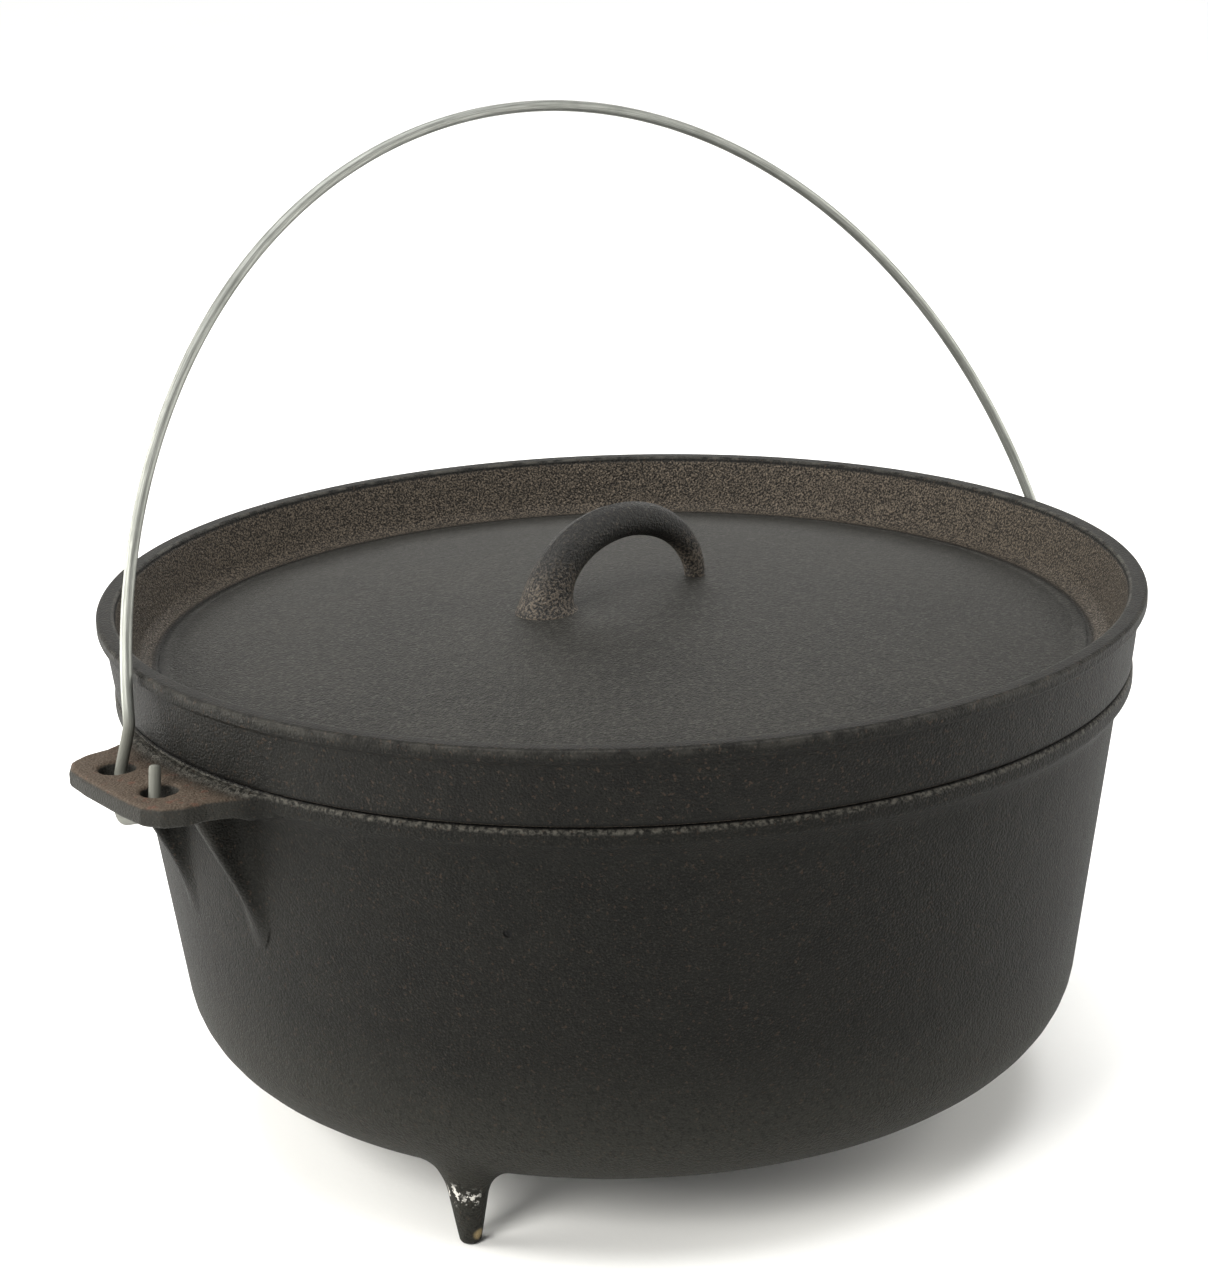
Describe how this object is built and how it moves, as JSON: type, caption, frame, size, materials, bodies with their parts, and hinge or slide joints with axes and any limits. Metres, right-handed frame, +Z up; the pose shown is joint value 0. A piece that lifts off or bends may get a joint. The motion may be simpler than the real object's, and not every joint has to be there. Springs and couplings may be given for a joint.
{
  "type": "dutch oven",
  "caption": "Cast iron camp oven on short peg legs, with a dished flanged lid, a loop lid handle and a wire bail threaded through pierced ears.",
  "frame": {"origin": "centre of the object's box on the ground, on the pot's own axis, under the three leg tips", "axes": "+Z up along the pot's axis; X through the two ears; the bail leans towards +Y at rest"},
  "size_m": [0.419, 0.37, 0.3531],
  "materials": {
    "pot_iron": "seasoned as-cast iron, fine sand texture, matt to satin, rusty tint on the ears",
    "lid_iron": "seasoned as-cast iron, smoother plate, coarse glinting flange and handle",
    "bail_wire": "galvanised wire, satin, pale grey"
  },
  "bodies": {
    "pot": {"pot": "pot_iron"},
    "lid": {"lid": "lid_iron"},
    "bail": {"bail": "bail_wire"}
  },
  "joints": [
    {"name": "lid_lift", "type": "slide", "parent": "pot", "child": "lid", "axis": [0, 0, 1], "range_m": [0, 0.008]},
    {"name": "bail_swing", "type": "hinge", "parent": "pot", "child": "bail", "pos_m": [0, 0, 0.1585], "axis": [1, 0, 0], "range_deg": [0, 40]}
  ]
}
